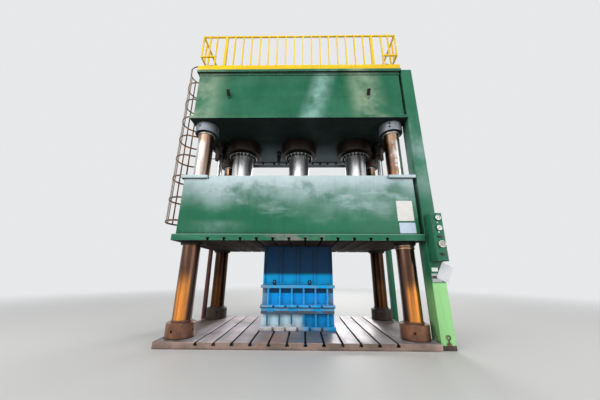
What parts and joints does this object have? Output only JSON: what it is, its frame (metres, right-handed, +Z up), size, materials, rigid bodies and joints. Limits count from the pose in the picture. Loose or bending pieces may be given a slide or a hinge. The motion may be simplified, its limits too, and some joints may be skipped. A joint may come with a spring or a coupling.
{
  "type": "four-column hydraulic press",
  "caption": "Four-column hydraulic press with tee-slotted bed and slide, ribbed die set, railed crown deck, caged ladder and control post; the slide travels on its columns.",
  "frame": {"origin": "middle of the lower beam's underside, on the pit floor", "axes": "+Z up along the columns, -Y towards the front where the operator stands, +X to the operator's right"},
  "size_m": [6.2613, 2.9067, 8.83],
  "materials": {
    "green_paint": "satin oily green machine paint",
    "yellow_paint": "satin yellow safety paint",
    "blue_paint": "bright blue die paint, bare where it is worked",
    "column_steel": "ground and oiled, with brown oil film",
    "ram_chrome": "polished",
    "barrel_steel": "dark oiled forging",
    "bed_steel": "planed, worn and stained",
    "nut_brown": "oily brown primer",
    "nut_grey": "turned, dull",
    "bush_black": "greasy black",
    "ladder_rust": "thin paint gone brown with rust",
    "riser_red": "dark red oxide primer",
    "case_chrome": "bright",
    "handle_black": "black",
    "board_white": "plain white"
  },
  "bodies": {
    "root": {"bed_nut_front_left": "nut_brown", "bed_nut_front_right": "nut_brown", "bed_nut_rear_left": "nut_brown", "bed_nut_rear_right": "nut_brown", "bed_plate": "bed_steel", "caged_ladder": "ladder_rust", "column_front_left": "column_steel", "column_front_right": "column_steel", "column_rear_left": "column_steel", "column_rear_right": "column_steel", "control_box": "green_paint", "control_post": "green_paint", "crown": "green_paint", "crown_nut_front_left": "nut_grey", "crown_nut_front_right": "nut_grey", "crown_nut_rear_left": "nut_grey", "crown_nut_rear_right": "nut_grey", "document_board": "board_white", "gauge_lower": "case_chrome", "gauge_middle": "case_chrome", "gauge_upper": "case_chrome", "gland_ring_centre": "case_chrome", "gland_ring_left": "case_chrome", "gland_ring_right": "case_chrome", "guardrail": "yellow_paint", "ladder_hoops": "ladder_rust", "lower_beam": "green_paint", "lower_die": "blue_paint", "main_cylinder_centre": "barrel_steel", "main_cylinder_left": "barrel_steel", "main_cylinder_right": "barrel_steel", "oil_riser": "riser_red", "oil_tank": "green_paint", "pump_unit": "green_paint", "rear_post": "green_paint", "return_cylinder_left": "barrel_steel", "return_cylinder_right": "barrel_steel", "top_nut_front_left": "nut_grey", "top_nut_front_right": "nut_grey", "top_nut_rear_left": "nut_grey", "top_nut_rear_right": "nut_grey", "valve_block": "handle_black"},
    "slide": {"die_spacer": "blue_paint", "guide_bush_front_left": "bush_black", "guide_bush_front_right": "bush_black", "guide_bush_rear_left": "bush_black", "guide_bush_rear_right": "bush_black", "ram_centre": "ram_chrome", "ram_left": "ram_chrome", "ram_right": "ram_chrome", "return_rod_left": "ram_chrome", "return_rod_right": "ram_chrome", "slide": "green_paint", "slide_plate": "green_paint", "upper_die": "blue_paint"},
    "needle_upper": {"needle_upper": "handle_black"},
    "needle_middle": {"needle_middle": "handle_black"},
    "needle_lower": {"needle_lower": "handle_black"},
    "selector": {"selector_switch": "handle_black"},
    "valve": {"valve_handle": "handle_black"}
  },
  "joints": [
    {"name": "slide_stroke", "type": "slide", "parent": "root", "child": "slide", "axis": [0, 0, 1], "range_m": [0, 0.85]},
    {"name": "needle_upper_turn", "type": "hinge", "parent": "root", "child": "needle_upper", "pos_m": [2.4853, -1.4856, 3.635], "axis": [0, 1, 0], "range_deg": [0, 270], "stiffness_Nm_per_rad": 0.002},
    {"name": "needle_middle_turn", "type": "hinge", "parent": "root", "child": "needle_middle", "pos_m": [2.4853, -1.4856, 3.455], "axis": [0, 1, 0], "range_deg": [0, 270], "stiffness_Nm_per_rad": 0.002},
    {"name": "needle_lower_turn", "type": "hinge", "parent": "root", "child": "needle_lower", "pos_m": [2.4853, -1.4856, 3.175], "axis": [0, 1, 0], "range_deg": [0, 270], "stiffness_Nm_per_rad": 0.002},
    {"name": "selector_turn", "type": "hinge", "parent": "root", "child": "selector", "pos_m": [2.4853, -1.4856, 3.305], "axis": [0, 1, 0], "range_deg": [-45, 45]},
    {"name": "valve_turn", "type": "hinge", "parent": "root", "child": "valve", "pos_m": [2.4853, -1.4856, 3.01], "axis": [0, 1, 0], "range_deg": [0, 90]}
  ]
}
